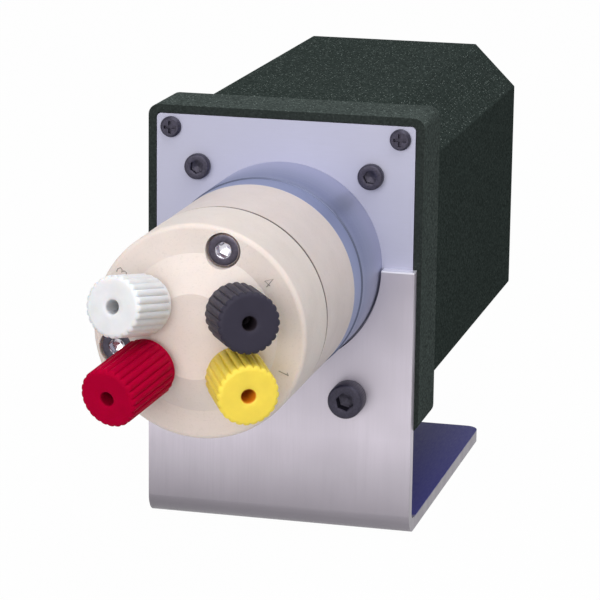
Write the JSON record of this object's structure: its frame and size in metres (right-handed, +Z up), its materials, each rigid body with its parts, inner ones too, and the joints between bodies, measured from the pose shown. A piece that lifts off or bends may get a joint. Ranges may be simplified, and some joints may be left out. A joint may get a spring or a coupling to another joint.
{
  "type": "hplc injection valve",
  "caption": "Motor-driven liquid chromatography valve on an L-shaped bench bracket: round plastic valve head with coloured finger-tight fittings in front of a dark housing.",
  "frame": {"origin": "middle of the underside of the bracket's foot", "axes": "+Z up; +Y away, from the valve's face to the housing's back; +X right, seen from the front"},
  "size_m": [0.0624, 0.2005, 0.094],
  "materials": {
    "cover_paint": "dark crinkle paint",
    "bezel_paint": "dark crinkle paint",
    "panel_paint": "satin black paint",
    "plate_metal": "satin anodised",
    "bracket_metal": "brushed",
    "collar_metal": "satin anodised, bluish",
    "ring_metal": "satin anodised",
    "body_peek": "natural, turned",
    "stator_peek": "natural, turned",
    "nut_slate": "moulded",
    "nut_white": "moulded",
    "nut_crimson": "moulded",
    "nut_yellow": "moulded",
    "ferrule_plastic": "moulded",
    "black_steel": "black oxide",
    "steel": "ground",
    "head_screw_steel": "polished in the hexagon, dull on the rim",
    "spring_steel": "hardened",
    "bearing_steel": "ground",
    "bronze": "sintered",
    "brass": "hobbed",
    "seal_polymer": "filled polymer",
    "hub_metal": "turned",
    "gear_plate_metal": "milled",
    "spider_rubber": "moulded",
    "black_plastic": "moulded",
    "motor_steel": "zinc plated",
    "winding": "varnished",
    "board_green": "solder mask",
    "socket_shell": "tin plated"
  },
  "bodies": {
    "housing": {"rear_cover": "cover_paint", "rear_panel": "panel_paint", "rear_screws": "black_steel", "tie_rods": "steel", "front_bezel": "bezel_paint", "front_plate": "plate_metal", "corner_screws": "black_steel", "plate_screws": "black_steel", "stand_bracket": "bracket_metal", "bracket_screws": "black_steel", "mounting_collar": "collar_metal", "collar_screws": "steel", "clamp_ring": "ring_metal", "valve_body": "body_peek", "stator": "stator_peek", "stator_screws": "head_screw_steel", "dowel_pins": "steel", "thrust_bearing": "bearing_steel", "spring_washers": "spring_steel", "preload_nut": "brass", "stop_pin": "steel", "shaft_bushing": "bronze", "disc_sensor": "black_plastic", "drive_posts": "steel", "gear_plate_front": "gear_plate_metal", "gear_plate_rear": "gear_plate_metal", "gear_spacers": "steel", "stack_screws": "steel", "output_bushings": "bronze", "motor_can": "motor_steel", "motor_front_cap": "motor_steel", "motor_rear_cap": "black_plastic", "motor_screws": "steel", "control_board": "board_green", "board_parts": "black_plastic", "board_posts": "brass", "data_socket": "socket_shell", "socket_posts": "steel", "power_inlet": "black_plastic"},
    "rotor": {"rotor_seal": "seal_polymer", "rotor_pins": "steel", "valve_shaft": "steel", "front_hub": "hub_metal", "coupling_spider": "spider_rubber", "rear_hub": "hub_metal", "encoder_disc": "black_plastic", "output_shaft": "steel", "output_gear": "brass"},
    "idler": {"idler_gear": "brass"},
    "motor_spindle": {"motor_rotor": "winding", "motor_pinion": "brass"},
    "fitting_1": {"ferrule_1": "ferrule_plastic"},
    "grip_1": {"nut_1": "nut_slate"},
    "fitting_2": {"ferrule_2": "ferrule_plastic"},
    "grip_2": {"nut_2": "nut_white"},
    "fitting_3": {"ferrule_3": "ferrule_plastic"},
    "grip_3": {"nut_3": "nut_crimson"},
    "fitting_4": {"ferrule_4": "ferrule_plastic"},
    "grip_4": {"nut_4": "nut_yellow"}
  },
  "joints": [
    {"name": "motor_turn", "type": "hinge", "parent": "housing", "child": "motor_spindle", "pos_m": [0, -0.005, 0.0523], "axis": [0, 1, 0], "range_deg": [0, 1080]},
    {"name": "idler_turn", "type": "hinge", "parent": "housing", "child": "idler", "pos_m": [0.01195, -0.005, 0.05124], "axis": [0, 1, 0], "range_deg": [-360, 0]},
    {"name": "valve_turn", "type": "hinge", "parent": "housing", "child": "rotor", "pos_m": [0, -0.005, 0.0603], "axis": [0, 1, 0], "range_deg": [0, 90]},
    {"name": "nut_1_travel", "type": "slide", "parent": "housing", "child": "fitting_1", "axis": [0.4797, -0.8755, 0.0589], "range_m": [0, 0.00726]},
    {"name": "nut_1_turn", "type": "hinge", "parent": "fitting_1", "child": "grip_1", "pos_m": [0.00842, -0.109, 0.0661], "axis": [0.4797, -0.8755, 0.0589], "range_deg": [0, 2880]},
    {"name": "nut_2_travel", "type": "slide", "parent": "housing", "child": "fitting_2", "axis": [-0.2422, -0.9553, 0.1696], "range_m": [0, 0.00726]},
    {"name": "nut_2_turn", "type": "hinge", "parent": "fitting_2", "child": "grip_2", "pos_m": [-0.0097, -0.109, 0.06625], "axis": [-0.2422, -0.9553, 0.1696], "range_deg": [0, 2880]},
    {"name": "nut_3_travel", "type": "slide", "parent": "housing", "child": "fitting_3", "axis": [-0.2522, -0.9466, -0.2006], "range_m": [0, 0.00726]},
    {"name": "nut_3_turn", "type": "hinge", "parent": "fitting_3", "child": "grip_3", "pos_m": [-0.00888, -0.109, 0.05385], "axis": [-0.2522, -0.9466, -0.2006], "range_deg": [0, 2880]},
    {"name": "nut_4_travel", "type": "slide", "parent": "housing", "child": "fitting_4", "axis": [0.4654, -0.8813, -0.0821], "range_m": [0, 0.00726]},
    {"name": "nut_4_turn", "type": "hinge", "parent": "fitting_4", "child": "grip_4", "pos_m": [0.00857, -0.109, 0.05335], "axis": [0.4654, -0.8813, -0.0821], "range_deg": [0, 2880]}
  ],
  "couplings": [
    {"joint": "idler_turn", "follows": "motor_turn", "ratio": -0.33333},
    {"joint": "valve_turn", "follows": "motor_turn", "ratio": 0.083333},
    {"joint": "nut_1_turn", "follows": "nut_1_travel", "rad_per_m": 6926.4},
    {"joint": "nut_2_turn", "follows": "nut_2_travel", "rad_per_m": 6926.4},
    {"joint": "nut_3_turn", "follows": "nut_3_travel", "rad_per_m": 6926.4},
    {"joint": "nut_4_turn", "follows": "nut_4_travel", "rad_per_m": 6926.4}
  ]
}
